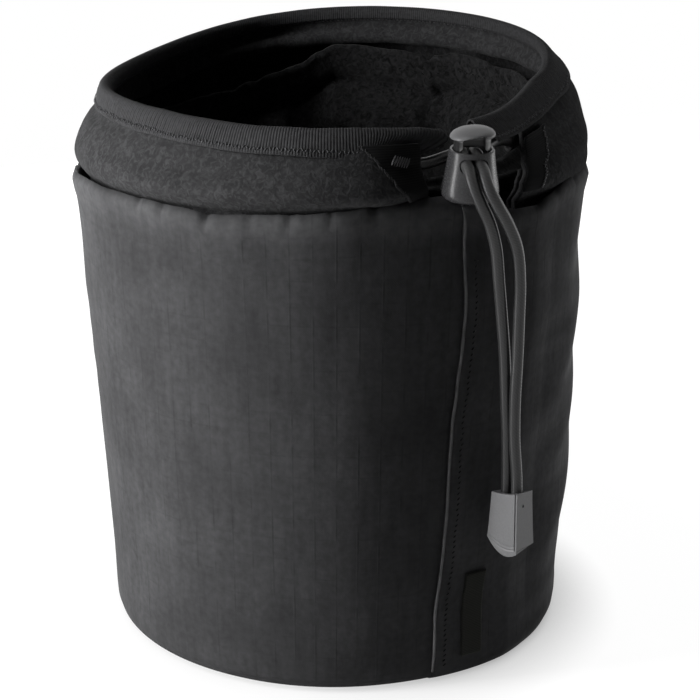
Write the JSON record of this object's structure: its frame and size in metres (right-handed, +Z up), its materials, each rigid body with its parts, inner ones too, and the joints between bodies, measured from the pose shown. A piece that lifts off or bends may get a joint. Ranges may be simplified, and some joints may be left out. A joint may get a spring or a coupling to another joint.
{
  "type": "drawstring lens pouch",
  "caption": "Round padded cloth pouch for a camera lens, with a soft collar, a drawcord mouth, a sprung cord lock and a clip on the cord's tails.",
  "frame": {"origin": "centre of the base, on the surface that the pouch stands on", "axes": "+Z up along the pouch, -Y towards the front with its lapped seam and cord lock, +X to the right seen from the front"},
  "size_m": [0.1144, 0.1271, 0.1342],
  "materials": {
    "ripstop_nylon": "coated ripstop weave, low sheen",
    "padding_foam": "closed-cell foam sheet",
    "soft_lining": "brushed pile, matte",
    "collar_cloth": "felted knit, matte",
    "ribbed_tape": "grosgrain ribs",
    "label_ribbon": "woven ribbon, bare",
    "elastic_cord": "braided sheath over rubber",
    "lock_plastic": "moulded, semi-matte",
    "end_plastic": "moulded, matte grey",
    "spring_steel": "drawn wire"
  },
  "bodies": {
    "pouch": {"outer_wall": "ripstop_nylon", "base_panel": "ripstop_nylon", "foam_wall": "padding_foam", "foam_base": "padding_foam", "lining_wall": "soft_lining", "lining_base": "soft_lining", "collar_band": "collar_cloth", "collar_facing": "collar_cloth", "cord_tunnel": "collar_cloth", "rim_binding": "ribbed_tape", "slit_tape_left": "ribbed_tape", "slit_tape_right": "ribbed_tape", "side_label": "label_ribbon", "drawcord_loop": "elastic_cord", "drawcord_bridge_left": "elastic_cord", "drawcord_bridge_right": "elastic_cord"},
    "cord_lock": {"lock_barrel": "lock_plastic", "lock_spring": "spring_steel", "cord_through_left": "elastic_cord", "cord_through_right": "elastic_cord"},
    "lock_button": {"lock_plunger": "lock_plastic"},
    "cord_tails": {"drawcord_tail_left": "elastic_cord", "drawcord_tail_right": "elastic_cord", "cord_end_body": "end_plastic", "cord_knot": "elastic_cord"},
    "end_lid": {"cord_end_lid": "end_plastic"}
  },
  "joints": [
    {"name": "lock_draw", "type": "slide", "parent": "pouch", "child": "cord_lock", "axis": [-0.4067, -0.9135, 0], "range_m": [0, 0.02], "deforming": ["drawcord_bridge_left", "drawcord_bridge_right"]},
    {"name": "button_press", "type": "slide", "parent": "cord_lock", "child": "lock_button", "axis": [0.0566, 0.1271, -0.9903], "range_m": [0, 0.0017], "stiffness_N_per_m": 2500, "springref_m": -0.0012, "deforming": ["lock_spring"]},
    {"name": "tail_swing", "type": "hinge", "parent": "cord_lock", "child": "cord_tails", "pos_m": [-0.00313, -0.06424, 0.11307], "axis": [0, 1, 0], "range_deg": [-35, 35]},
    {"name": "lid_open", "type": "hinge", "parent": "cord_tails", "child": "end_lid", "pos_m": [0.01154, -0.06485, 0.034], "axis": [0.9397, 0.342, 0], "range_deg": [0, 100]}
  ]
}
